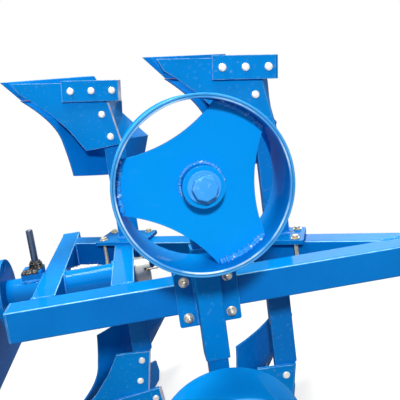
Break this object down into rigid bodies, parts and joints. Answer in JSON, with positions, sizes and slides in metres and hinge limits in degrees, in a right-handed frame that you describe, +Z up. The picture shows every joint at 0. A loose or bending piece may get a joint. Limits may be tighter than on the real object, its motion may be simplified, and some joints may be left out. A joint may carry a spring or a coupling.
{
  "type": "reversible plough",
  "caption": "Tractor-mounted turnover plough: slanted square-tube frame turning on a headstock spindle, mirrored upper and lower bodies, and steel depth wheels on a clamped post.",
  "frame": {"origin": "floor level under the middle of the overall box", "axes": "+X to the rear, away from the tractor; +Y to the plough's right; +Z up"},
  "size_m": [1.427, 1.212, 1.2212],
  "materials": {
    "blue_paint": "satin enamel over rolled steel and rough welds",
    "bare_steel": "turned steel, left bare",
    "worn_steel": "enamel over hardened steel",
    "zinc_bolts": "yellow zinc plating",
    "bronze": "turned bronze"
  },
  "bodies": {
    "headstock": {"headstock_plate": "blue_paint", "spindle": "bare_steel", "thrust_washers": "bare_steel", "castle_nut": "bare_steel", "split_pin": "bare_steel", "lower_link_bar": "blue_paint", "lower_link_pins": "bare_steel", "mast_plates": "blue_paint", "lock_guide": "blue_paint", "stand_socket": "blue_paint", "stand_screw": "zinc_bolts"},
    "frame": {"near_beam": "blue_paint", "main_beam": "blue_paint", "beam_caps": "blue_paint", "front_cross_tube": "blue_paint", "rear_cross_tube": "blue_paint", "bearing_tube": "blue_paint", "bearing_bushes": "bronze", "stop_screw": "bare_steel", "lock_disc": "blue_paint", "clamp_bolts": "zinc_bolts", "body_bolts": "zinc_bolts", "wheel_clamp_front": "blue_paint", "wheel_clamp_back": "blue_paint", "wheel_clamp_bolts": "zinc_bolts", "wheel_post": "blue_paint", "stem_screws": "zinc_bolts", "lower_front_share": "worn_steel", "lower_front_mouldboard": "blue_paint", "lower_front_frog": "blue_paint", "lower_front_landside": "blue_paint", "lower_front_leg": "blue_paint", "lower_rear_share": "worn_steel", "lower_rear_mouldboard": "blue_paint", "lower_rear_frog": "blue_paint", "lower_rear_landside": "blue_paint", "lower_rear_leg": "blue_paint", "upper_front_share": "worn_steel", "upper_front_mouldboard": "blue_paint", "upper_front_frog": "blue_paint", "upper_front_landside": "blue_paint", "upper_front_leg": "blue_paint", "upper_rear_share": "worn_steel", "upper_rear_mouldboard": "blue_paint", "upper_rear_frog": "blue_paint", "upper_rear_landside": "blue_paint", "upper_rear_leg": "blue_paint"},
    "lock_pin": {"lock_pin": "bare_steel"},
    "stand": {"stand_leg": "blue_paint"},
    "upper_stem": {"upper_wheel_stem": "blue_paint", "upper_axle_end": "blue_paint"},
    "lower_stem": {"lower_wheel_stem": "blue_paint", "lower_axle_end": "blue_paint"},
    "upper_wheel": {"upper_wheel_rim": "blue_paint", "upper_wheel_disc": "blue_paint"},
    "lower_wheel": {"lower_wheel_rim": "blue_paint", "lower_wheel_disc": "blue_paint"}
  },
  "joints": [
    {"name": "turnover", "type": "hinge", "parent": "headstock", "child": "frame", "pos_m": [-0.3505, -0.01382, 0.6106], "axis": [1, 0, 0], "range_deg": [0, 180]},
    {"name": "lock_slide", "type": "slide", "parent": "headstock", "child": "lock_pin", "axis": [1, 0, 0], "range_m": [0, 0.018]},
    {"name": "stand_slide", "type": "slide", "parent": "headstock", "child": "stand", "axis": [0, 0, 1], "range_m": [0, 0.34]},
    {"name": "upper_depth", "type": "slide", "parent": "frame", "child": "upper_stem", "axis": [0, 0, 1], "range_m": [-0.05, 0.05]},
    {"name": "lower_depth", "type": "slide", "parent": "frame", "child": "lower_stem", "axis": [0, 0, -1], "range_m": [-0.05, 0.05]},
    {"name": "upper_wheel_spin", "type": "hinge", "parent": "upper_stem", "child": "upper_wheel", "pos_m": [0.0495, -0.51382, 0.9256], "axis": [0, 1, 0], "continuous": true},
    {"name": "lower_wheel_spin", "type": "hinge", "parent": "lower_stem", "child": "lower_wheel", "pos_m": [0.0495, -0.51382, 0.2956], "axis": [0, 1, 0], "continuous": true}
  ]
}
